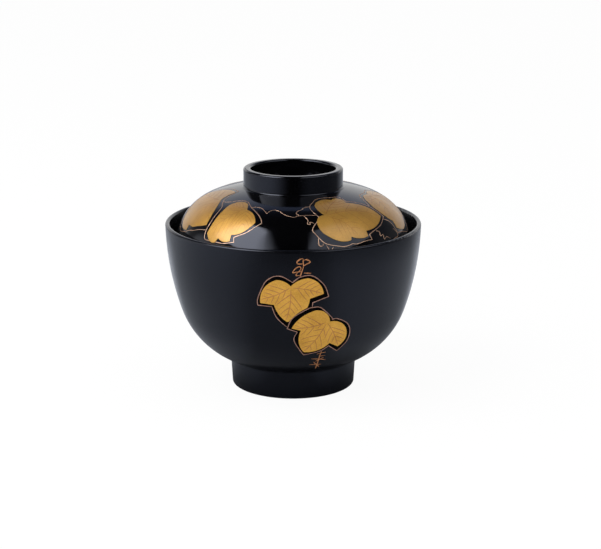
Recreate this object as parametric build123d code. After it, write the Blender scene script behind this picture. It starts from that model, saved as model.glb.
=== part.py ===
from build123d import *
import math
import os

# Lacquer soup bowl with lid, standing on its foot ring at z = 0, axis on Z, painted front towards -Y.
# Millimetres and degrees.

# Bowl
rim_radius = 56.5
rim_height = 74.1
lip_thickness = 2.0
wall_thickness = 4.0
outer_lean = 0.9
inner_lean = 10.0
outer_balance = 0.9
inner_balance = 1.0

# Foot ring, turned in one with the bowl
foot_height = 12.4
foot_radius = 28.1
foot_taper = 0.7
foot_flare = 21.7
foot_wall = 4.0
base_thickness = 4.2
foot_fillet = 0.8
foot_edge_round = 0.6
recess_fillet = 1.5

# Lid: a dome that drops into the mouth, and its seat on the bowl's inner wall
seat_depth = 10.5
seat_clearance = 0.3
lid_thickness = 3.0
lid_edge_round = 0.8
dome_rise = 26.0
dome_balance = 2.5
dome_edge_lean = 1.4
crown_slope = 10.8

# Ring knob, turned in one with the lid
ring_radius = 21.9
ring_wall = 3.3
ring_height = 8.4
ring_edge_round = 1.0
ring_fillet = 1.0

# Gold layers laid on the lacquer
bond_gap = 0.02
gold_thickness = 0.08
vein_thickness = 0.04
line_gap = 1.15
line_width = 0.5
leaf_gap = 0.8
vein_width = 0.3
vein_margin = 0.5
tendril_width = 0.4
vine_width = 0.5

# Veins of a leaf: pairs on each rib, their angle to it, and their length for each length of rib beyond them
vein_pairs = 4
vein_angle = 42
vein_reach = 0.6

# The leaves are drawn for a bowl of this rim radius, and are larger or smaller with the bowl
drawing_radius = 56.5


def heading(angle):
    return Vector(math.cos(math.radians(angle)), math.sin(math.radians(angle)))


def left_of(way):
    return Vector(-way.Y, way.X)


def two_arcs(start, start_angle, end, end_angle, balance):
    """Knots of two arcs that meet in a common tangent: a point and a direction each."""
    leave, arrive = heading(start_angle), heading(end_angle)
    chord = end - start
    reach = leave * balance + arrive
    a = reach.dot(reach) - (1 + balance) ** 2
    b = -2 * chord.dot(reach)
    c = chord.dot(chord)
    arrive_length = (-b - math.sqrt(b * b - 4 * a * c)) / (2 * a)
    leave_length = balance * arrive_length
    first_corner = start + leave * leave_length
    second_corner = end - arrive * arrive_length
    bridge = second_corner - first_corner
    joint = first_corner + bridge * (leave_length / (leave_length + arrive_length))
    return [(start, leave), (joint, bridge.normalized()), (end, arrive)]


def shifted(knots, amount):
    """The same two arcs moved outwards, to the right of their direction."""
    return [(point - left_of(way) * amount, way) for point, way in knots]


def arcs(knots):
    return [TangentArc(p, q, tangent=way) for (p, way), (q, _) in zip(knots, knots[1:])]


def radius_at(knots, height):
    """Distance from the axis to the two arcs at a height."""
    for (p, way), (q, _) in zip(knots, knots[1:]):
        if min(p.Y, q.Y) <= height <= max(p.Y, q.Y):
            chord = q - p
            bend = chord.dot(chord) / (2 * chord.dot(left_of(way)))
            centre = p + left_of(way) * bend
            return centre.X + math.copysign(math.sqrt(bend ** 2 - (height - centre.Y) ** 2), bend)
    raise ValueError("height is off the wall")


def crown(knots):
    """Arc that carries the end of a curve on to the axis, level there, and its point on the axis."""
    point, way = knots
    inward = way if way.X < 0 else way * -1
    slope = math.atan2(inward.Y, -inward.X)
    middle = Vector(0, point.Y + point.X * math.tan(slope / 2))
    return TangentArc(point, middle, tangent=inward), middle


def turned(section):
    return revolve(Plane.XZ * section, Axis.Z)


def corner(face, point):
    return face.vertices().sort_by_distance(Vector(point.X, point.Y, 0))[0]


# Curves of the bowl, in radius and height, from the foot up to the lip
lip_height = rim_height - lip_thickness / 2
foot_top = Vector(foot_radius, foot_height)
rim_outside = Vector(rim_radius, lip_height)
rim_inside = Vector(rim_radius - lip_thickness, lip_height)
outside = two_arcs(foot_top, foot_flare, rim_outside, 90 - outer_lean, outer_balance)
floor_edge = shifted(outside, -wall_thickness)[0][0]
inside = two_arcs(floor_edge, foot_flare, rim_inside, 90 - inner_lean, inner_balance)


def bowl():
    floor_arc, floor_middle = crown(inside[0])
    recess_radius = foot_radius - foot_taper - foot_wall
    recess_height = floor_middle.Y - base_thickness
    recess_middle = Vector(0, recess_height)
    recess_corner = Vector(recess_radius, recess_height)
    foot_inner_edge = Vector(recess_radius, 0)
    foot_outer_edge = Vector(foot_radius - foot_taper, 0)
    lip_top = Vector(rim_radius - lip_thickness / 2, rim_height)
    lip = ThreePointArc(rim_outside, lip_top, rim_inside)
    foot = Polyline(floor_middle, recess_middle, recess_corner, foot_inner_edge, foot_outer_edge, foot_top)
    section = make_face(arcs(outside) + [lip] + arcs(inside) + [floor_arc] + foot.edges())
    section = fillet(corner(section, foot_top), foot_fillet)
    section = fillet(corner(section, recess_corner), recess_fillet)
    section = fillet([corner(section, foot_outer_edge), corner(section, foot_inner_edge)], foot_edge_round)
    return turned(section)


# Curves of the lid, from its edge in the seat up to the ring
seat_height = rim_height - seat_depth
lid_radius = radius_at(inside, seat_height) - seat_clearance
ring_base = Vector(ring_radius, seat_height + dome_rise)
lid_edge = Vector(lid_radius, seat_height)
dome = two_arcs(lid_edge, 90 + dome_edge_lean, ring_base, 180 - crown_slope, dome_balance)
lid_top = ring_base.Y + ring_height


def lid():
    under = shifted(dome, -lid_thickness)
    under_arc, under_middle = crown(under[2])
    crown_arc, crown_middle = crown(dome[2])
    shell = make_face(
        arcs(dome)
        + [crown_arc, Line(crown_middle, under_middle), under_arc]
        + arcs(under)
        + [Line(under[0][0], lid_edge)]
    )
    shell = fillet([corner(shell, lid_edge), corner(shell, under[0][0])], lid_edge_round)
    ring_inner = ring_radius - ring_wall
    ring_foot = ring_base.Y - lid_thickness / 2
    ring = Pos(ring_inner, ring_foot) * Rectangle(ring_wall, lid_top - ring_foot, align=Align.MIN)
    ring = fillet(ring.vertices().group_by(Axis.Y)[-1], ring_edge_round)
    section = shell + ring
    section = fillet(corner(section, ring_base), ring_fillet)
    return turned(section)


def skins(knots, start_radius):
    """Thin turned layers over a curve, from a radius outwards: the gold, and the veins drawn on it."""
    layers = {}
    for layer, gap, thickness in (
        ("gold", bond_gap, gold_thickness),
        ("veins", bond_gap + gold_thickness + bond_gap, vein_thickness),
    ):
        low, high = shifted(knots, gap), shifted(knots, gap + thickness)
        ends = [Line(low[0][0], high[0][0]), Line(low[2][0], high[2][0])]
        section = make_face(arcs(low) + arcs(high) + ends)
        keep = Pos(start_radius, 0) * Rectangle(rim_radius, lid_top, align=Align.MIN)
        layers[layer] = turned(section & keep)
    return layers


def outline(sides, out=0):
    """Face of a leaf, drawn clockwise: each edge runs from its corner through its bow point to the next
    corner, straight without one. Out draws it again at that distance, with its corners kept sharp."""
    edges = []
    for (start, bow), (end, _) in zip(sides, sides[1:] + sides[:1]):
        edges.append(ThreePointArc(start, bow, end) if bow else Line(start, end))
    if not out:
        return make_face(edges)
    moved = []
    for before, edge, (_, bow) in zip(edges[-1:] + edges[:-1], edges, sides):
        arrive, leave = left_of(before % 1), left_of(edge % 0)
        miter = (arrive + leave) * (out / (1 + arrive.dot(leave)))
        moved.append((edge @ 0 + miter, edge @ 0.5 + left_of(edge % 0.5) * out if bow else None))
    return outline(moved)


def stroke(start, end, width):
    """Straight brush stroke with round ends."""
    along = Vector(end) - Vector(start)
    middle = Vector(start) + along * 0.5
    slope = math.degrees(math.atan2(along.Y, along.X))
    return Pos(middle.X, middle.Y) * Rot(0, 0, slope) * SlotCenterToCenter(along.length, width)


def contour(leaf):
    """Thin line drawn round a leaf at a small distance."""
    return outline(leaf, line_gap + line_width) - outline(leaf, line_gap)


def veins(leaf, base, tips):
    """A rib from the stalk to each lobe, with pairs of side veins that shorten towards the tip."""
    strokes = []
    for tip in tips:
        rib = Vector(tip) - Vector(base)
        strokes.append(stroke(base, tip, vein_width))
        for pair in range(1, vein_pairs + 1):
            root = Vector(base) + rib * (pair / (vein_pairs + 2))
            reach = (Vector(tip) - root).length * vein_reach
            for turn in (vein_angle, -vein_angle):
                end = root + rib.normalized().rotate(Axis.Z, turn) * reach
                strokes.append(stroke(root, end, vein_width))
    return (Sketch() + strokes) & outline(leaf, -vein_margin)


# Painted front of the bowl, in x and in height from the rim
upper_leaf = [
    ((-13.6, -23.1), (-11.9, -16.1)),
    ((-6.9, -12.5), (-3.6, -13.2)),
    ((-1.0, -15.2), (1.7, -13.0)),
    ((6.1, -11.7), (10.7, -14.2)),
    ((12.6, -18.9), None),
    ((6.9, -20.8), (5.0, -26.4)),
    ((-2.6, -31.4), (-6.0, -28.0)),
    ((-7.9, -23.7), None),
]
lower_leaf = [
    ((-0.7, -34.5), (3.2, -29.5)),
    ((9.5, -26.3), (13.7, -27.8)),
    ((15.3, -32.0), (20.0, -33.0)),
    ((22.5, -38.1), (21.6, -41.8)),
    ((18.7, -44.7), None),
    ((15.3, -42.5), (10.4, -45.8)),
    ((4.4, -46.5), (2.3, -41.0)),
    ((3.2, -35.6), None),
]


def bowl_tendrils():
    """Curling shoot above the leaves and jointed shoot below them."""
    shoot = [((0.4, -13.0), (2.2, -9.6)), ((2.2, -9.6), (4.3, -3.2)), ((4.4, -9.9), (7.4, -9.6))]
    top = [stroke(start, end, tendril_width) for start, end in shoot]
    for middle, length, height, tilt in (((1.9, -7.8), 2.4, 1.2, 32), ((4.4, -4.7), 2.8, 1.3, 4)):
        curl = Ellipse(length, height) - Ellipse(length - tendril_width, height - tendril_width)
        top.append(Pos(*middle) * Rot(0, 0, tilt) * curl)
    stem_top, stem_end = Vector(12.0, -46.6), Vector(9.6, -57.4)
    twig_drop = 0.3
    bottom = [stroke(stem_top, stem_end, tendril_width)]
    for share, left, right in ((0.08, 1.8, 1.6), (0.25, 1.2, 1.5), (0.45, 3.2, 2.4), (0.7, 2.9, 1.9)):
        joint = stem_top + (stem_end - stem_top) * share
        left_end, right_end = joint - Vector(left, twig_drop), joint + Vector(right, twig_drop)
        bottom.append(stroke(left_end, right_end, tendril_width))
    return Sketch() + top, Sketch() + bottom


# Painted top of the lid, in plan
left_leaf = [
    ((-25.1, -9.7), (-29.2, -12.2)),
    ((-31.3, -16.0), (-33.2, -22.6)),
    ((-36.8, -28.9), (-40.3, -25.6)),
    ((-43.4, -21.8), None),
    ((-44.9, -18.4), None),
    ((-46.0, -19.0), (-48.2, -9.6)),
    ((-44.0, 0.6), (-39.0, 3.6)),
    ((-33.4, 2.0), (-28.2, -2.6)),
]
front_left_leaf = [
    ((-36.3, -32.6), (-32.6, -29.3)),
    ((-28.1, -24.7), (-23.6, -22.6)),
    ((-19.2, -28.6), None),
    ((-19.4, -31.4), (-16.6, -35.6)),
    ((-15.8, -40.1), (-20.9, -41.9)),
    ((-25.8, -40.4), None),
    ((-26.5, -41.8), (-29.3, -40.3)),
    ((-31.5, -37.9), None),
    ((-32.8, -38.0), (-35.3, -35.6)),
]
front_right_leaf = [
    ((9.1, -30.8), (11.0, -25.6)),
    ((16.4, -23.2), (19.8, -20.8)),
    ((22.3, -23.7), (30.4, -22.4)),
    ((37.3, -23.7), (35.6, -30.0)),
    ((30.6, -36.2), None),
    ((31.5, -37.3), (28.0, -40.2)),
    ((24.3, -41.8), None),
    ((24.2, -42.7), (18.5, -45.2)),
    ((12.6, -44.9), (10.0, -41.8)),
    ((13.1, -37.0), (10.5, -34.4)),
]
right_leaf = [
    ((30.3, -10.7), (31.2, -8.0)),
    ((32.6, -5.4), (33.2, 1.6)),
    ((39.0, 6.0), (45.4, 3.4)),
    ((47.9, -5.0), (48.2, -13.4)),
    ((44.4, -20.6), None),
    ((42.9, -19.5), (38.8, -21.3)),
    ((34.4, -20.2), (31.8, -16.2)),
]


def lid_shoots():
    """Vine from leaf to leaf, and the small tendrils that leave it."""
    bends = [
        (-17.0, -30.0),
        (-12.4, -33.1),
        (-10.6, -36.0),
        (-7.5, -33.9),
        (-3.0, -38.2),
        (2.0, -39.6),
        (9.6, -37.6),
    ]
    curls = [
        [(6.8, -31.2), (3.4, -32.6), (1.5, -35.4), (2.7, -36.6)],
        [(4.4, -39.8), (5.4, -40.8), (6.4, -42.4), (7.6, -41.9)],
        [(10.9, -47.2), (11.3, -48.5), (12.6, -48.6), (13.0, -47.8)],
        [(35.6, -32.4), (37.3, -31.7), (38.4, -31.8), (40.4, -30.0)],
        [(42.8, -23.6), (44.6, -22.4), (44.2, -24.8), (42.4, -26.8)],
    ]
    vine = trace(Spline(*bends), vine_width)
    tendrils = Sketch() + [trace(Spline(*curl), tendril_width) for curl in curls]
    return vine, tendrils


# Drawings are laid on the bowl straight in from the front, and on the lid straight down
bowl_skins = skins(outside, foot_radius + 2 * foot_fillet)
lid_skins = skins(dome, ring_radius + 2 * ring_fillet)


def on_bowl(sketch, layer):
    drawing = scale(sketch, rim_radius / drawing_radius)
    return extrude(Plane.XZ * Pos(0, rim_height) * drawing, 2 * rim_radius) & bowl_skins[layer]


def on_lid(sketch, layer):
    drawing = scale(sketch, rim_radius / drawing_radius)
    return extrude(Plane.XY.offset(seat_height) * drawing, lid_top) & lid_skins[layer]


def behind(sketch, leaf, gap):
    """What shows of a drawing beside the contour of a leaf in front of it."""
    return sketch - outline(leaf, line_gap + line_width + gap)


def leaf_layers(lay, leaf, base, tips, front):
    """Gold fill, contour and veins of one leaf, less what a leaf in front of it covers."""
    fill, line, ribs = outline(leaf), contour(leaf), veins(leaf, base, tips)
    if front:
        fill, ribs = behind(fill, front, leaf_gap), behind(ribs, front, leaf_gap + vein_margin)
        line = behind(line, front, bond_gap)
    return {"gold": lay(fill, "gold"), "contour": lay(line, "gold"), "veins": lay(ribs, "veins")}


# Each leaf: its outline, where its ribs start, where they end, and the leaf in front of it
upper_ribs = [(-2.6, -31.0), (-12.8, -21.4), (11.6, -18.2)]
lower_ribs = [(4.8, -46.0), (0.4, -34.4), (19.0, -44.0)]
bowl_leaves = {
    "bowl_upper_leaf": (upper_leaf, (-1.0, -15.2), upper_ribs, lower_leaf),
    "bowl_lower_leaf": (lower_leaf, (15.2, -32.0), lower_ribs, None),
}
left_ribs = [(-45.6, -17.6), (-38.0, -26.4), (-38.6, 2.0)]
front_left_ribs = [(-35.4, -33.0), (-26.4, -24.2), (-22.0, -40.8)]
front_right_ribs = [(36.8, -24.2), (18.6, -22.2), (27.4, -39.8)]
right_ribs = [(43.6, -19.4), (33.8, -18.4), (43.4, 3.6)]
lid_leaves = {
    "lid_left_leaf": (left_leaf, (-31.6, -15.6), left_ribs, front_left_leaf),
    "lid_front_left_leaf": (front_left_leaf, (-19.6, -30.0), front_left_ribs, None),
    "lid_front_right_leaf": (front_right_leaf, (13.4, -37.0), front_right_ribs, None),
    "lid_right_leaf": (right_leaf, (33.0, -6.0), right_ribs, front_right_leaf),
}

pieces = {"bowl": bowl(), "lid": lid()}
for lay, leaves in ((on_bowl, bowl_leaves), (on_lid, lid_leaves)):
    for name, leaf in leaves.items():
        for layer, solid in leaf_layers(lay, *leaf).items():
            pieces[f"{name}_{layer}"] = solid
top_tendril, bottom_tendril = bowl_tendrils()
pieces["bowl_top_tendril"] = on_bowl(behind(top_tendril, upper_leaf, bond_gap), "gold")
pieces["bowl_bottom_tendril"] = on_bowl(behind(bottom_tendril, lower_leaf, bond_gap), "gold")
for name, shoot in zip(("lid_front_vine", "lid_front_tendrils"), lid_shoots()):
    for leaf in (front_left_leaf, front_right_leaf, right_leaf):
        shoot = behind(shoot, leaf, bond_gap)
    pieces[name] = on_lid(shoot, "gold")

# The far side of the lid has the front's two leaves and their vine again
for name in [name for name in pieces if name.startswith("lid_front")]:
    pieces[name.replace("front", "back")] = Rot(0, 0, 180) * pieces[name]

os.makedirs("parts", exist_ok=True)
for name, solid in pieces.items():
    export_step(solid, f"parts/{name}.step")
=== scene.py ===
import math

import bmesh
import bpy
from mathutils import Matrix, Vector, noise
from mathutils.bvhtree import BVHTree
from mathutils.geometry import delaunay_2d_cdt, intersect_point_line


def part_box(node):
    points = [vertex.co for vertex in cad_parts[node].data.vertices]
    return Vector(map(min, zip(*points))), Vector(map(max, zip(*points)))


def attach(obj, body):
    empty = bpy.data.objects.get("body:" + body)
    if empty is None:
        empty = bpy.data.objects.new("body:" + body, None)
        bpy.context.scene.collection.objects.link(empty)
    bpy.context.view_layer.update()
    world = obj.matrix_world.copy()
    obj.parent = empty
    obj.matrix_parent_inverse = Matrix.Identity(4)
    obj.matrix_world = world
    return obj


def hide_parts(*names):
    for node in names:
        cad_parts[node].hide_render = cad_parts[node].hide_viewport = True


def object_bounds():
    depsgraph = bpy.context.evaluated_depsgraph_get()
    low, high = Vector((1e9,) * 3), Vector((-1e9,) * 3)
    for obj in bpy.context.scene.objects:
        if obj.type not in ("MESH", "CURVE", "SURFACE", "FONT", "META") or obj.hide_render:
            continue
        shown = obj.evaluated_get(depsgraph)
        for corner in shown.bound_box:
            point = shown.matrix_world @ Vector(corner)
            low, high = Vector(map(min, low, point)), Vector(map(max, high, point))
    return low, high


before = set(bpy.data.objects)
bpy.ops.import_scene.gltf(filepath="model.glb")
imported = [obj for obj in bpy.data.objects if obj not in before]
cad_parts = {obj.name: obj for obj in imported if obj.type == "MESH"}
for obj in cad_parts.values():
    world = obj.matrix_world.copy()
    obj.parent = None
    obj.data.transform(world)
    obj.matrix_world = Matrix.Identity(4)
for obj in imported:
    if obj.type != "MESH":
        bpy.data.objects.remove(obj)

cad_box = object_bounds()

# Bowl
# Turned wooden bowl on a foot ring, lacquered black inside and out.
# The last coat is a matted one, sprayed on and left unpolished.

mm = 0.001


def linear(code):
    """Linear colour of an sRGB hex value."""
    parts = [int(code[i:i + 2], 16) / 255 for i in (1, 3, 5)]
    return [part / 12.92 if part <= 0.04045 else ((part + 0.055) / 1.055) ** 2.4 for part in parts] + [1]


def add_node(tree, kind, inputs, **settings):
    """Adds a shader node with its settings; an input is a value, or the output that is linked to it."""
    made = tree.nodes.new("ShaderNode" + kind)
    for name, value in settings.items():
        setattr(made, name, value)
    for name, value in inputs.items():
        if isinstance(value, bpy.types.NodeSocket):
            tree.links.new(value, made.inputs[name])
        else:
            made.inputs[name].default_value = value
    return made


def start_material(name):
    """New material with its node tree, its shader, and the point on the piece in metres."""
    material = bpy.data.materials.new(name)
    material.use_nodes = True
    tree = material.node_tree
    place = add_node(tree, "TexCoord", {}).outputs["Object"]
    return material, tree, tree.nodes["Principled BSDF"], place


def black_lacquer(name, deep, thin, sheen, roughest, specular, peel_depth):
    """Sprayed black lacquer: a faint clouding where the coat is thinner, a soft ripple of orange peel,
    and fine dust in the polish. The eye sees an even black whose reflections waver a little."""
    cloud_size, peel_size, dust_size = 28 * mm, 2.4 * mm, 0.6 * mm
    lacquer_ior, cool_gloss = 1.5, "#E4EAFF"
    material, tree, shader, place = start_material(name)
    cloud = add_node(tree, "TexNoise", {"Vector": place, "Scale": 1 / cloud_size, "Detail": 3.0})
    shades = {"Factor": cloud.outputs["Fac"], "A": linear(deep), "B": linear(thin)}
    tone = add_node(tree, "Mix", shades, data_type="RGBA")
    tree.links.new(tone.outputs["Result"], shader.inputs["Base Color"])
    dust = add_node(tree, "TexNoise", {"Vector": place, "Scale": 1 / dust_size, "Detail": 2.0})
    polish = add_node(tree, "MapRange", {"Value": dust.outputs["Fac"], "To Min": sheen, "To Max": roughest})
    tree.links.new(polish.outputs["Result"], shader.inputs["Roughness"])
    peel = add_node(tree, "TexNoise", {"Vector": place, "Scale": 1 / peel_size, "Detail": 1.0})
    ripple = add_node(tree, "Bump", {"Height": peel.outputs["Fac"], "Distance": peel_depth, "Strength": 1.0})
    tree.links.new(ripple.outputs["Normal"], shader.inputs["Normal"])
    shader.inputs["IOR"].default_value = lacquer_ior
    shader.inputs["Specular IOR Level"].default_value = specular
    shader.inputs["Specular Tint"].default_value = linear(cool_gloss)
    return material


# Satin lacquer gives a deep black on which the studio shows as soft grey fields without sharp edges
satin_lacquer = black_lacquer(
    "satin_black_lacquer", "#030305", "#07080B",
    sheen=0.2, roughest=0.3, specular=0.5, peel_depth=0.003 * mm,
)
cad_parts["bowl"].material_slots[0].material = satin_lacquer

# The lip is rubbed smoother than the wall by the lid and by use
rim_radius, rim_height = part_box("bowl")[1].x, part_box("bowl")[1].z
rubbed_from, rubbed_to = rim_height - 1.6 * mm, rim_height - 0.6 * mm
rubbed_roughness = 0.2
lip_tree = satin_lacquer.node_tree
lip_roughness = lip_tree.nodes["Principled BSDF"].inputs["Roughness"]
lip_place = add_node(lip_tree, "TexCoord", {}).outputs["Object"]
height = add_node(lip_tree, "SeparateXYZ", {"Vector": lip_place}).outputs["Z"]
near_lip = add_node(lip_tree, "MapRange", {"Value": height, "From Min": rubbed_from, "From Max": rubbed_to})
wear = {"Factor": near_lip.outputs["Result"], "A": lip_roughness.links[0].from_socket, "B": rubbed_roughness}
rubbed = add_node(lip_tree, "Mix", wear, data_type="FLOAT")
lip_tree.links.new(rubbed.outputs["Result"], lip_roughness)

# Leaves on the bowl
# Two ivy leaves in gold powder on the front wall, each on a patch of dead black.
# A copper-gold line is drawn round each by brush, the veins are fine lines over the gold,
# and a curled shoot leaves the spray above and below.


def gold_powder(name, bright, deep, sheen, roughest, metal, clear_coat):
    """Gold powder burnished in lacquer: fine grains of differing tone, patchy where the powder lies thinner.
    The grains are drawn coarser than real powder so that they show."""
    grain_size, grain_height, patch_size = 0.5 * mm, 0.01 * mm, 6 * mm
    thin_cover, full_cover = 0.35, 0.65
    edge_tint, coat_roughness = "#5A5450", 0.22
    material, tree, shader, place = start_material(name)
    patches = add_node(tree, "TexNoise", {"Vector": place, "Scale": 1 / patch_size, "Detail": 3.0})
    grains = add_node(tree, "TexNoise", {"Vector": place, "Scale": 1 / grain_size, "Detail": 2.0})
    patch, grain = patches.outputs["Fac"], grains.outputs["Fac"]
    powder = add_node(tree, "Mix", {"Factor": 0.5, "A": patch, "B": grain}, data_type="FLOAT")
    cover = {"Value": powder.outputs["Result"], "From Min": thin_cover, "From Max": full_cover}
    share = add_node(tree, "MapRange", cover).outputs["Result"]
    shades = {"Factor": share, "A": linear(deep), "B": linear(bright)}
    tone = add_node(tree, "Mix", shades, data_type="RGBA")
    tree.links.new(tone.outputs["Result"], shader.inputs["Base Color"])
    polish = add_node(tree, "MapRange", {"Value": grain, "To Min": sheen, "To Max": roughest})
    tree.links.new(polish.outputs["Result"], shader.inputs["Roughness"])
    rough = add_node(tree, "Bump", {"Height": grain, "Distance": grain_height, "Strength": 1.0})
    tree.links.new(rough.outputs["Normal"], shader.inputs["Normal"])
    shader.inputs["Metallic"].default_value = metal
    shader.inputs["Specular Tint"].default_value = linear(edge_tint)
    shader.inputs["Coat Weight"].default_value = clear_coat
    shader.inputs["Coat Roughness"].default_value = coat_roughness
    return material


def two_arcs(start, start_angle, end, end_angle, balance):
    """Two arcs that meet in a common tangent: where they meet, then the centre and radius of each."""
    leave = Vector((math.cos(math.radians(start_angle)), math.sin(math.radians(start_angle))))
    arrive = Vector((math.cos(math.radians(end_angle)), math.sin(math.radians(end_angle))))
    chord = end - start
    reach = leave * balance + arrive
    a = reach.dot(reach) - (1 + balance) ** 2
    b = -2 * chord.dot(reach)
    c = chord.dot(chord)
    arrive_length = (-b - math.sqrt(b * b - 4 * a * c)) / (2 * a)
    first_corner = start + leave * balance * arrive_length
    second_corner = end - arrive * arrive_length
    joint = first_corner.lerp(second_corner, balance / (1 + balance))
    tangent = (second_corner - first_corner).normalized()
    arcs = []
    for point, way, other in ((start, leave, joint), (joint, tangent, end)):
        side = Vector((-way.y, way.x))
        span = other - point
        radius = span.dot(span) / (2 * span.dot(side))
        arcs.append((point + side * radius, radius))
    return joint, arcs


# The outside of the wall, as in the CAD, from the foot up to the lip; angles are in degrees
foot_radius, foot_height, foot_flare = 28.1 * mm, 12.4 * mm, 21.7
lip_thickness, wall_lean, wall_balance = 2 * mm, 0.9, 0.9
foot_top = Vector((foot_radius, foot_height))
lip_edge = Vector((rim_radius, rim_height - lip_thickness / 2))
wall_joint, wall_arcs = two_arcs(foot_top, foot_flare, lip_edge, 90 - wall_lean, wall_balance)


def on_bowl(spot):
    """Point and normal on the front of the bowl, for a spot in x and height from the rim."""
    z = rim_height + spot.y
    centre, radius = wall_arcs[0] if z < wall_joint.y else wall_arcs[1]
    out = math.sqrt(radius ** 2 - (z - centre.y) ** 2)
    reach = centre.x + out
    y = -math.sqrt(reach ** 2 - spot.x ** 2)
    return Vector((spot.x, y, z)), Vector((spot.x / reach * out, y / reach * out, z - centre.y)) / radius


def soft_curve(spots, closed=False):
    """Even points along a soft curve through spots in millimetres; a spot given twice is a sharp corner."""
    step = 0.4 * mm
    spots = [Vector(spot) * mm for spot in spots]
    count = len(spots)
    curve = []
    for i in range(count if closed else count - 1):
        a, b = spots[i], spots[(i + 1) % count]
        before = spots[i - 1] if closed or i > 0 else a
        after = spots[(i + 2) % count] if closed or i + 2 < count else b
        leave, arrive = (b - before) / 2, (after - a) / 2
        pieces = math.ceil((b - a).length / step)
        for t in [k / pieces for k in range(pieces)]:
            swing = leave * (t ** 3 - 2 * t ** 2 + t) + arrive * (t ** 3 - t ** 2)
            curve.append(a.lerp(b, 3 * t ** 2 - 2 * t ** 3) + swing)
    return curve if closed else curve + [spots[-1]]


def brush_line(surface, curve, width, lift, closed=False):
    """Raised line of a brush along a curve on a surface, of uneven width, drawn out thin at open ends."""
    section = [(-0.5, 0.0), (-0.3, 0.75), (0.0, 1.0), (0.3, 0.75), (0.5, 0.0), (0.0, -0.2)]
    line_height, tip_points, tip_width = 0.05 * mm, 4, 0.4
    unevenness, waver_length = 0.35, 1.6 * mm
    count, sides = len(curve), len(section)
    points, faces = [], []
    for i, spot in enumerate(curve):
        point, normal = surface(spot)
        ahead = curve[(i + 1) % count] if closed or i + 1 < count else spot
        behind = curve[i - 1] if closed or i > 0 else spot
        side = normal.cross(surface(ahead)[0] - surface(behind)[0]).normalized()
        pressure = 1 + unevenness * noise.noise(point / waver_length)
        if not closed:
            pressure *= min(1, tip_width + (1 - tip_width) * min(i, count - 1 - i) / tip_points)
        for across, up in section:
            points.append(point + side * across * width * pressure + normal * (lift + up * line_height))
    for i in range(count if closed else count - 1):
        for k in range(sides):
            near, far = i * sides, (i + 1) % count * sides
            faces.append((near + k, near + (k + 1) % sides, far + (k + 1) % sides, far + k))
    if not closed:
        faces.append(tuple(range(sides)))
        faces.append(tuple(range((count - 1) * sides, count * sides)))
    return points, faces


def lay_piece(name, body, parts, material, replaced=()):
    """One mesh from parts of points and faces, riding on its body in place of CAD nodes."""
    points, faces = [], []
    for part_points, part_faces in parts:
        start = len(points)
        points += part_points
        faces += [tuple(start + k for k in face) for face in part_faces]
    mesh = bpy.data.meshes.new(name)
    mesh.from_pydata(points, [], faces)
    skin = bmesh.new()
    skin.from_mesh(mesh)
    bmesh.ops.recalc_face_normals(skin, faces=skin.faces)
    skin.to_mesh(mesh)
    skin.free()
    mesh.shade_smooth()
    mesh.materials.append(material)
    piece = bpy.data.objects.new(name, mesh)
    bpy.context.scene.collection.objects.link(piece)
    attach(piece, body)
    if replaced:
        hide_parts(*replaced)
    return piece


def leaf_veins(leaf_node, surface, base, tips):
    """Ribs from the stalk to each lobe with bowed side veins, kept on the gold and short of the next rib."""
    gold_top, gold_slack, margin = 0.1 * mm, 0.06 * mm, 0.5 * mm
    width, lift, overlap, fewest_points = 0.3 * mm, 0.01 * mm, 0.3 * mm, 5
    pairs, bare_tip, angle = 4, 1.2, 44
    rib_start, rib_bow = 0.06, 0.04
    longest_side, side_length, side_bow = 1.1, 0.8, 0.08
    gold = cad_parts[leaf_node].data
    leaf = BVHTree.FromPolygons([v.co for v in gold.vertices], [face.vertices for face in gold.polygons])
    base = Vector(base)
    ribs = [(base * mm, Vector(tip) * mm) for tip in tips]

    def from_rib(spot, rib):
        """Distance of a spot from a rib."""
        share = intersect_point_line(spot, *rib)[1]
        return (spot - rib[0].lerp(rib[1], min(1, max(0, share)))).length

    def on_leaf(spot):
        """Whether the gold lies under a spot and a margin round it."""
        for step in ((0, 0), (1, 0), (-1, 0), (0, 1), (0, -1)):
            point, normal = surface(spot + Vector(step) * margin)
            if leaf.find_nearest(point + normal * gold_top, gold_slack)[0] is None:
                return False
        return True

    def kept(curve, own):
        """The curve up to where it leaves the gold or comes nearer to another rib than to its own."""
        end = 0
        for spot in curve:
            nearest = min(from_rib(spot, rib) for rib in ribs)
            if not on_leaf(spot) or from_rib(spot, own) > nearest + overlap:
                break
            end += 1
        return curve[:end]

    lines = []
    for tip, own in zip(tips, ribs):
        rib = Vector(tip) - base
        bow = Vector((-rib.y, rib.x)) * rib_bow
        curves = [soft_curve([base + rib * rib_start, base + rib * 0.5 + bow, tip])]
        for pair in range(1, pairs + 1):
            share = pair / (pairs + bare_tip)
            for turn in (angle, -angle):
                way = Matrix.Rotation(math.radians(turn), 2) @ rib.normalized()
                root = base + rib * share + bow * math.sin(math.pi * share)
                reach = rib.length * (longest_side - share) * side_length
                end = root + way * reach + rib * side_bow
                curves.append(soft_curve([root, root + way * reach * 0.5, end]))
        for curve in curves:
            visible = kept(curve, own)
            if len(visible) >= fewest_points:
                lines.append(brush_line(surface, visible, width, gold_top + lift))
    return lines


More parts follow.
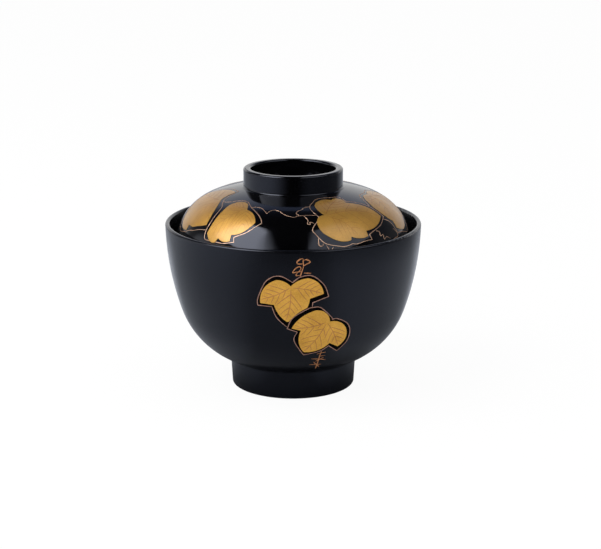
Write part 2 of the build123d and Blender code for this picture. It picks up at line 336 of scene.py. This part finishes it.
def ground_sheet(surface, curve, lift):
    """Thin sheet on a surface, filling a closed curve."""
    spacing, margin = 1.5 * mm, 0.4 * mm
    inside_only, tolerance = 1, 1e-7
    count = len(curve)
    inner = []
    low = Vector((min(p.x for p in curve), min(p.y for p in curve)))
    high = Vector((max(p.x for p in curve), max(p.y for p in curve)))
    for i in range(int((high.x - low.x) / spacing) + 1):
        for k in range(int((high.y - low.y) / spacing) + 1):
            spot = low + Vector((i, k)) * spacing
            if min((spot - p).length for p in curve) > margin:
                inner.append(spot)
    border = [(i, (i + 1) % count) for i in range(count)]
    spots, _, faces, *_ = delaunay_2d_cdt(curve + inner, border, [], inside_only, tolerance)
    laid = [surface(spot) for spot in spots]
    return [point + normal * lift for point, normal in laid], [tuple(face) for face in faces]


def lay_leaf(name, body, surface, drawing, gold, line, vein):
    """The CAD gold of a leaf in its material, with the line drawn round it and the veins over it."""
    outline, closed, base, tips = drawing
    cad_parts[name + "_gold"].material_slots[0].material = gold
    edge = brush_line(surface, soft_curve(outline, closed), line_width, line_lift, closed)
    lay_piece(name + "_line", body, [edge], line, [name + "_contour"])
    veins = leaf_veins(name + "_gold", surface, base, tips)
    lay_piece(name + "_vein_lines", body, veins, vein, [name + "_veins"])


# Powder on the satin wall has no clear coat: the fill is a warm even gold with no hard light on it.
# The line round it holds copper and looks pinker and duller, the veins and shoots look redder.
on_satin = {"sheen": 0.5, "roughest": 0.65, "clear_coat": 0.0}
bowl_gold = gold_powder("gold_powder_on_satin", "#EAB656", "#D09C46", metal=0.45, **on_satin)
bowl_line = gold_powder("copper_gold_line_on_satin", "#C0988A", "#9C7664", metal=0.5, **on_satin)
bowl_vein = gold_powder("red_gold_vein_on_satin", "#CC8C58", "#B0764C", metal=0.45, **on_satin)
bowl_shoot = gold_powder("red_gold_shoot_on_satin", "#D8986A", "#B07850", metal=0.5, **on_satin)
# Dead black has next to no gloss, so each leaf stands on a patch that is darker than the wall
dead_black = black_lacquer(
    "dead_black_ground", "#020202", "#040303",
    sheen=0.45, roughest=0.55, specular=0.04, peel_depth=0.002 * mm,
)
line_lift, line_width, shoot_width = 0.02 * mm, 0.38 * mm, 0.44 * mm
ground_lift, ground_thickness = 0.014 * mm, 0.008 * mm

# Outlines are in millimetres, in x and height from the rim
upper_line = [
    (7.9, -24.6), (8.1, -22.7), (8.1, -22.7), (14.7, -20.2), (14.7, -20.2), (12.8, -15.0), (8.0, -10.8),
    (3.1, -11.1), (-0.2, -13.5), (-0.2, -13.5), (-4.1, -11.2), (-6.7, -10.8), (-9.3, -11.7),
    (-12.0, -14.4), (-14.7, -21.3), (-14.7, -24.2), (-14.7, -24.2), (-8.9, -24.5), (-8.9, -24.5),
    (-6.8, -29.6), (-2.7, -33.8),
]
lower_line = [
    (-2.5, -34.6), (-2.5, -34.6), (-0.2, -29.6), (5.8, -25.6), (8.8, -24.8), (11.7, -25.3),
    (15.9, -29.8), (16.3, -31.1), (16.3, -31.1), (18.5, -30.9), (22.6, -33.6), (23.9, -37.6),
    (22.6, -42.6), (18.5, -47.2), (18.5, -47.2), (15.0, -43.9), (15.0, -43.9), (11.0, -46.5),
    (4.4, -48.1), (4.4, -48.1), (1.2, -42.6), (0.3, -39.4), (1.7, -36.3), (1.7, -36.3),
]
shared_edge = [(-2.5, -34.6), (-0.2, -29.6), (5.8, -25.6)]
# The outline and whether it closes, then where the ribs start and the lobes they run to
bowl_leaves = (
    ("upper", upper_line, False, (-0.8, -15.7), [(-3.0, -31.0), (-13.4, -21.5), (12.2, -18.7)]),
    ("lower", lower_line, True, (14.3, -32.2), [(4.5, -46.1), (0.0, -34.6), (18.9, -44.5)]),
)
for place, *drawing in bowl_leaves:
    name = f"bowl_{place}_leaf"
    lay_leaf(name, "bowl", on_bowl, drawing, bowl_gold, bowl_line, bowl_vein)
    outline, closed = drawing[:2]
    ground_edge = soft_curve(outline if closed else outline + shared_edge, True)
    sheet = ground_sheet(on_bowl, ground_edge, ground_lift)
    ground = lay_piece(name + "_ground", "bowl", [sheet], dead_black)
    ground.modifiers.new("thickness", "SOLIDIFY").thickness = ground_thickness

top_shoot = [
    [(2.8, -11.1), (3.8, -8.0), (4.2, -6.5), (4.0, -3.1)],
    [(4.3, -5.4), (2.0, -5.4), (1.6, -4.5), (3.0, -3.4), (4.0, -3.1)],
    [(4.2, -3.9), (5.6, -3.7), (7.0, -4.7), (5.6, -5.5), (4.2, -6.3)],
    [(3.5, -8.7), (1.8, -8.9), (-0.2, -9.2), (0.9, -7.5), (2.6, -6.6), (3.2, -7.6), (1.6, -9.4)],
    [(1.8, -9.2), (1.1, -10.4), (2.8, -10.4)],
    [(4.4, -9.4), (7.4, -9.5)],
]
bottom_shoot = [
    [(12.0, -46.6), (11.2, -49.3), (10.4, -53.2), (9.5, -57.6)],
    [(10.0, -48.0), (13.7, -47.2)],
    [(10.8, -49.3), (13.6, -49.2)],
    [(7.6, -50.6), (10.6, -51.0), (13.8, -51.7)],
    [(9.4, -52.4), (12.9, -50.2)],
    [(6.8, -54.4), (12.0, -54.6)],
    [(8.7, -52.7), (11.1, -56.5)],
]
for place, shoot in (("top", top_shoot), ("bottom", bottom_shoot)):
    lines = [brush_line(on_bowl, soft_curve(run), shoot_width, line_lift) for run in shoot]
    node = f"bowl_{place}_tendril"
    lay_piece(f"bowl_{place}_shoot", "bowl", lines, bowl_shoot, [node])

# Lid
# Turned wooden dome in one with its ring knob, lacquered black and polished to a mirror.
# It drops inside the mouth of the bowl and rests there on its edge, by its own weight.

# Polished lacquer gives a black mirror, in which the soft boxes show with clear edges
gloss_lacquer = black_lacquer(
    "polished_black_lacquer", "#020203", "#050506",
    sheen=0.07, roughest=0.11, specular=0.5, peel_depth=0.0006 * mm,
)
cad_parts["lid"].material_slots[0].material = gloss_lacquer

# Leaves on the lid
# Ivy leaves round the dome with a vine between them, in gold powder as on the bowl,
# but under the clear last coat that the lid was polished in.

# The dome, as in the CAD, from its edge up to the ring knob
ring_radius, ring_height = 21.9 * mm, 8.4 * mm
dome_edge_lean, crown_slope, dome_balance = 1.4, 10.8, 2.5
lid_low, lid_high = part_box("lid")
lid_edge = Vector((lid_high.x, lid_low.z))
ring_base = Vector((ring_radius, lid_high.z - ring_height))
dome_joint, dome_arcs = two_arcs(lid_edge, 90 + dome_edge_lean, ring_base, 180 - crown_slope, dome_balance)


def on_lid(spot):
    """Point and normal on the dome, for a spot in plan."""
    reach = spot.length
    centre, radius = dome_arcs[0] if reach > dome_joint.x else dome_arcs[1]
    out = reach - centre.x
    rise = math.sqrt(radius ** 2 - out ** 2)
    normal = Vector((spot.x / reach * out, spot.y / reach * out, rise)) / radius
    return Vector((spot.x, spot.y, centre.y + rise)), normal


# Under the clear coat the gold looks deeper, and mirrors the soft boxes as a soft bloom.
# The line round it is a pale copper, and the veins are a browner gold.
under_gloss = {"sheen": 0.48, "roughest": 0.62, "metal": 0.9, "clear_coat": 0.9}
lid_gold = gold_powder("gold_powder_under_gloss", "#E0AE54", "#C69648", **under_gloss)
lid_line = gold_powder(
    "copper_gold_line_under_gloss", "#F4CCAE", "#D4A88C",
    sheen=0.32, roughest=0.42, metal=0.9, clear_coat=0.4,
)
lid_vein = gold_powder("red_gold_vein_under_gloss", "#CC8E42", "#B27838", **under_gloss)

# Outlines are in millimetres in plan, seen from above
left_line = [
    (-37.0, -30.6), (-40.0, -27.3), (-42.8, -24.1), (-44.9, -20.9), (-46.6, -18.6), (-46.6, -18.6),
    (-49.4, -9.4), (-45.2, 1.8), (-39.0, 5.0), (-32.6, 3.4), (-27.0, -1.6), (-23.8, -8.6),
    (-23.8, -8.6), (-29.0, -14.6), (-30.1, -18.4),
]
front_left_line = [
    (-30.1, -18.4), (-27.9, -19.8), (-22.2, -21.5), (-19.3, -24.1), (-17.6, -29.9), (-13.9, -37.7),
    (-13.1, -41.0), (-13.1, -41.0), (-19.2, -42.5), (-24.8, -41.6), (-24.8, -41.6), (-24.7, -42.9),
    (-24.7, -42.9), (-30.1, -40.0), (-36.8, -33.9), (-37.2, -31.4), (-34.7, -28.9), (-30.6, -23.7),
]
front_right_line = [
    (6.9, -31.9), (8.1, -27.8), (10.3, -23.6), (15.3, -20.9), (19.6, -18.8), (22.4, -21.9),
    (22.4, -21.9), (29.6, -20.6), (38.6, -22.4), (38.6, -22.4), (36.9, -28.9), (32.1, -36.3),
    (32.1, -36.3), (33.2, -36.9), (33.2, -36.9), (27.4, -41.7), (24.9, -43.1), (24.9, -43.1),
    (20.7, -45.6), (13.4, -47.3), (9.0, -45.6), (8.1, -44.1), (10.2, -40.5), (10.6, -38.5),
    (8.0, -35.2),
]
right_line = [
    (38.2, -24.2), (41.4, -22.0), (44.9, -22.0), (44.9, -22.0), (49.6, -11.0), (49.2, -4.0),
    (46.4, 4.8), (39.4, 7.4), (32.4, 3.0), (31.0, -4.6), (28.8, -10.4), (29.8, -14.6), (32.6, -20.6),
]
lid_leaves = (
    ("left", left_line, False, (-31.6, -15.6), [(-45.6, -17.6), (-38.0, -26.4), (-38.6, 2.0)]),
    ("front_left", front_left_line, True, (-19.6, -30.0), [(-35.4, -33.0), (-26.4, -24.2), (-22.0, -40.8)]),
    ("front_right", front_right_line, True, (13.4, -37.0), [(36.8, -24.2), (18.6, -22.2), (27.4, -39.8)]),
    ("right", right_line, False, (33.0, -6.0), [(43.6, -19.4), (33.8, -18.4), (43.4, 3.6)]),
)
vine = [
    (-17.6, -29.9), (-16.0, -30.0), (-13.5, -31.4), (-11.0, -36.4), (-11.0, -36.4), (-9.9, -34.9),
    (-7.9, -34.2), (-5.8, -35.4), (-3.3, -38.2), (0.2, -39.6), (2.5, -38.7), (9.4, -37.7),
]
lid_shoots = [
    [(6.6, -31.6), (3.9, -33.2), (4.1, -34.0), (2.1, -35.4), (1.3, -37.2), (2.5, -38.5)],
    [(4.4, -38.6), (6.1, -40.7), (5.9, -42.4), (7.1, -42.6), (7.0, -41.6), (8.7, -41.9)],
    [(10.4, -46.6), (10.7, -48.3), (12.2, -48.1), (12.6, -47.5)],
    [(13.8, -47.6), (15.3, -48.2), (16.8, -47.0)],
    [
        (35.0, -32.8), (36.5, -31.8), (36.9, -32.8), (38.0, -31.2), (38.6, -32.0), (39.7, -30.1),
        (41.3, -28.8),
    ],
    [(42.7, -23.4), (44.6, -22.4), (44.7, -23.6), (42.9, -26.8)],
]


def far_side(spots):
    """The same drawing turned half round the axis."""
    return [(-x, -y) for x, y in spots]


drawings = [(f"lid_{place}_leaf", *drawing) for place, *drawing in lid_leaves]
for place, outline, closed, base, tips in lid_leaves:
    if place.startswith("front"):
        back = place.replace("front", "back")
        drawings.append((f"lid_{back}_leaf", far_side(outline), closed, far_side([base])[0], far_side(tips)))
for name, *drawing in drawings:
    lay_leaf(name, "lid", on_lid, drawing, lid_gold, lid_line, lid_vein)
for side, turned in (("front", False), ("back", True)):
    stem = far_side(vine) if turned else vine
    stem_line = brush_line(on_lid, soft_curve(stem), line_width, line_lift)
    node = f"lid_{side}_vine"
    lay_piece(node + "_line", "lid", [stem_line], lid_line, [node])
    runs = [far_side(run) if turned else run for run in lid_shoots]
    lines = [brush_line(on_lid, soft_curve(run), shoot_width, line_lift) for run in runs]
    node = f"lid_{side}_tendrils"
    lay_piece(f"lid_{side}_shoots", "lid", lines, lid_line, [node])

# Floor
# White paper sweep, laid flat and running on past the picture, with a faint shadow of the foot on it.
# Gloss sees the paper under a painted shade, as fields of grey that fade round the bowl, with a painted
# shadow at the foot.


def flat_sheet(name, corners, height):
    """Level sheet of the studio, not part of the object."""
    mesh = bpy.data.meshes.new(name)
    mesh.from_pydata([(x, y, height) for x, y in corners], [], [tuple(range(len(corners)))])
    sheet = bpy.data.objects.new(name, mesh)
    bpy.context.scene.collection.objects.link(sheet)
    material = bpy.data.materials.new(name)
    material.use_nodes = True
    material.node_tree.nodes.clear()
    mesh.materials.append(material)
    return sheet


def seen_directly(tree):
    """1 for rays from the camera or through glass, which see the studio as plain white, and 0 for others."""
    rays = add_node(tree, "LightPath", {})
    straight = {0: rays.outputs["Is Camera Ray"], 1: rays.outputs["Is Transmission Ray"]}
    return add_node(tree, "Math", straight, operation="MAXIMUM").outputs[0]


floor_reach, shadow_kept = 6, 0.06
far_at, near_at = 0.36, 0.2
# Distances from the axis at which the painted shadow round the foot, seen only in gloss, is full and gone
painted_shadow_full_at, painted_shadow_gone_at = 0.032, 0.05
square = [(-1, -1), (1, -1), (1, 1), (-1, 1)]
sweep = flat_sheet("white_paper_sweep", [(x * floor_reach, y * floor_reach) for x, y in square], 0)
sweep_tree = sweep.active_material.node_tree
# Matt paper gives an even white without a sheen
paper = add_node(sweep_tree, "BsdfDiffuse", {"Color": linear("#F4F4F4")}).outputs["BSDF"]
floor_spot = add_node(sweep_tree, "TexCoord", {}).outputs["Object"]
away = add_node(sweep_tree, "VectorMath", {0: floor_spot}, operation="LENGTH").outputs["Value"]
heading = add_node(sweep_tree, "VectorMath", {0: floor_spot}, operation="NORMALIZE").outputs["Vector"]
bearing = add_node(sweep_tree, "SeparateXYZ", {"Vector": heading})
painted_gloss_fields = 0.0
# Fields of painted shade on the paper, as gloss sees it, left, right, behind and round the front: the
# bearing at which each is dark and fully light, how light it is far from the bowl and near it, and what is
# left of that under the painted shadow at the foot
for axis, dark_at, light_at, far_share, near_share, left_in_painted_shadow in (
    ("X", -0.1, -0.9, 0.5, 0.42, 0.5),
    ("X", 0.1, 0.7, 0.12, 0.46, 0.4),
    ("Y", 0.2, 0.95, 0.5, 1.0, 1.0),
    ("Y", 0.5, 0.0, 0.0, 0.21, 1.0),
):
    share = add_node(
        sweep_tree, "MapRange",
        {"Value": away, "From Min": far_at, "From Max": near_at, "To Min": far_share, "To Max": near_share},
        interpolation_type="SMOOTHSTEP",
    ).outputs["Result"]
    painted_field = add_node(
        sweep_tree, "MapRange",
        {"Value": bearing.outputs[axis], "From Min": dark_at, "From Max": light_at, "To Max": share},
        interpolation_type="SMOOTHSTEP",
    ).outputs["Result"]
    # Painted shadow: gloss sees the paper darker near the foot
    painted_foot_shadow = add_node(
        sweep_tree, "MapRange",
        {"Value": away, "From Min": painted_shadow_full_at, "From Max": painted_shadow_gone_at, "To Min": left_in_painted_shadow},
    ).outputs["Result"]
    field_under_painted_shadow = add_node(sweep_tree, "Math", {0: painted_field, 1: painted_foot_shadow}, operation="MULTIPLY").outputs[0]
    painted_gloss_fields = add_node(sweep_tree, "Math", {0: field_under_painted_shadow, 1: painted_gloss_fields}, operation="MAXIMUM").outputs[0]
# Painted shade and painted reflection: where the fields are dark, gloss sees black, and elsewhere a copy of
# the paper that is bluer than the paper itself
painted_shade_black = add_node(sweep_tree, "BsdfDiffuse", {"Color": linear("#000000")}).outputs["BSDF"]
painted_cool_paper = add_node(sweep_tree, "BsdfDiffuse", {"Color": linear("#EDF3FE")}).outputs["BSDF"]
paper_in_painted_reflection = add_node(sweep_tree, "MixShader", {0: painted_gloss_fields, 1: painted_shade_black, 2: painted_cool_paper}).outputs["Shader"]
off_gloss = add_node(sweep_tree, "LightPath", {}).outputs["Is Glossy Ray"]
sweep_with_painted_reflection = add_node(sweep_tree, "MixShader", {0: off_gloss, 1: paper, 2: paper_in_painted_reflection}).outputs["Shader"]
glow = add_node(sweep_tree, "Emission", {"Color": linear("#FFFFFF"), "Strength": 1.0}).outputs["Emission"]
plain = {0: seen_directly(sweep_tree), 1: 1 - shadow_kept}
seen_plain = add_node(sweep_tree, "Math", plain, operation="MULTIPLY").outputs[0]
shown = add_node(sweep_tree, "MixShader", {0: seen_plain, 1: sweep_with_painted_reflection, 2: glow})
add_node(sweep_tree, "OutputMaterial", {"Surface": shown.outputs["Shader"]})

# Studio
# A painted reflection of a room, seen only in gloss: a white backdrop behind the bowl that darkens upwards,
# dim walls at the sides, a pale one far left, and a dark room behind the camera. The light itself is an even
# white all round, and the camera sees plain white all round.

world = bpy.data.worlds.new("studio")
bpy.context.scene.world = world
world.use_nodes = True
world_tree = world.node_tree
world_tree.nodes.clear()
direction = add_node(world_tree, "TexCoord", {}).outputs["Generated"]
sight = add_node(world_tree, "SeparateXYZ", {"Vector": direction})
# Degrees above the floor, and the colour of the painted backdrop there
painted_backdrop_shades = ((16, "#FFFFFF"), (45, "#8896BA"), (80, "#000000"))
painted_backdrop = add_node(world_tree, "ValToRGB", {"Fac": sight.outputs["Z"]})
painted_backdrop.color_ramp.elements.new(0.5)
for stop, (degrees, colour) in zip(painted_backdrop.color_ramp.elements, painted_backdrop_shades):
    stop.position = math.sin(math.radians(degrees))
    stop.color = linear(colour)
painted_walls = 0.0
# Painted backdrop, dim sides and pale left wall, seen only in gloss: where each starts and is full along its
# axis, and how light it is
for axis, dark_at, light_at, light_share in (
    ("Y", 0.5, 0.85, 1.0),
    ("Y", -0.3, 0.2, 0.16),
    ("X", -0.82, -0.93, 0.8),
):
    wall = add_node(
        world_tree, "MapRange",
        {"Value": sight.outputs[axis], "From Min": dark_at, "From Max": light_at, "To Max": light_share},
        interpolation_type="SMOOTHSTEP",
    ).outputs["Result"]
    painted_walls = add_node(world_tree, "Math", {0: wall, 1: painted_walls}, operation="MAXIMUM").outputs[0]
white, room_strength = linear("#FFFFFF"), 0.8
# Gloss alone sees the painted room; all other rays are lit by an even white room
painted_room = {"Color": painted_backdrop.outputs["Color"], "Strength": painted_walls}
painted_reflection = add_node(world_tree, "Background", painted_room).outputs["Background"]
lit_room = {"Color": white, "Strength": room_strength}
room_light = add_node(world_tree, "Background", lit_room).outputs["Background"]
off_lacquer = add_node(world_tree, "LightPath", {}).outputs["Is Glossy Ray"]
in_room = add_node(world_tree, "MixShader", {0: off_lacquer, 1: room_light, 2: painted_reflection}).outputs["Shader"]
plain_white = add_node(world_tree, "Background", {"Color": white}).outputs["Background"]
studio = add_node(world_tree, "MixShader", {0: seen_directly(world_tree), 1: in_room, 2: plain_white})
add_node(world_tree, "OutputWorld", {"Surface": studio.outputs["Shader"]})

# Soft boxes
# Two large soft boxes overhead, left and right of the camera, with a dark gap between them.
# The left one is the stronger, and fades towards the gap, more so near the camera.

box_height, box_inside, box_outside, box_front, box_back = 0.98, 0.16, 1.6, -1.3, 0.08
cut_front, cut_outside = -0.4, 0.46
fade_back, fade_front = -0.3, -1.2
box_plan = [
    (box_inside, box_front), (box_inside, cut_front), (cut_outside, box_back),
    (box_outside, box_back), (box_outside, box_front),
]
# How far out each cloth is dark and fully lit, at the back and at the front of the fade
for side, sign, power, dark_edge, full_edge in (
    ("left", -1, 4.7, (0.26, 0.28), (0.38, 1.1)),
    ("right", 1, 1.3, (0.18, 0.29), (0.3, 0.45)),
):
    soft_box = flat_sheet("soft_box_" + side, [(sign * x, y) for x, y in box_plan], box_height)
    soft_box.visible_camera = False
    box_tree = soft_box.active_material.node_tree
    box_spot = add_node(box_tree, "TexCoord", {}).outputs["Object"]
    plan = add_node(box_tree, "SeparateXYZ", {"Vector": box_spot})
    out = add_node(box_tree, "Math", {0: plan.outputs["X"], 1: sign}, operation="MULTIPLY").outputs[0]
    edges = []
    for back, front in (dark_edge, full_edge):
        fade = {"Value": plan.outputs["Y"], "From Min": fade_back, "From Max": fade_front}
        edge = add_node(box_tree, "MapRange", {**fade, "To Min": back, "To Max": front})
        edges.append(edge.outputs["Result"])
    strength = add_node(
        box_tree, "MapRange", {"Value": out, "From Min": edges[0], "From Max": edges[1], "To Max": power},
        interpolation_type="SMOOTHSTEP",
    ).outputs["Result"]
    # White cloth lit from behind gives an even glow with no hot spot
    cloth = add_node(box_tree, "Emission", {"Color": white, "Strength": strength}).outputs["Emission"]
    add_node(box_tree, "OutputMaterial", {"Surface": cloth})

# Camera
# Long lens, held level across and looking a little down on the bowl.
# Its distance and angle were fitted to the outline of the rim, the lid and the foot.

image_width, image_height = 601, 549
focal_pixels, sensor_width = 1566, 36
middle_pixel = Vector((293.2, 274.9))
distance, elevation = 0.7, math.radians(14.95)
aim = Vector((0, 0, cad_box[1].z / 2))
camera_data = bpy.data.cameras.new("camera")
camera_data.sensor_width = sensor_width
camera_data.lens = focal_pixels / image_width * sensor_width
camera_data.shift_x = (image_width / 2 - middle_pixel.x) / image_width
camera_data.shift_y = (middle_pixel.y - image_height / 2) / image_width
camera = bpy.data.objects.new("camera", camera_data)
camera.location = aim + Vector((0, -math.cos(elevation), math.sin(elevation))) * distance
camera.rotation_euler = (math.pi / 2 - elevation, 0, 0)
bpy.context.scene.collection.objects.link(camera)
bpy.context.scene.camera = camera
bpy.context.scene.view_settings.view_transform = "Standard"
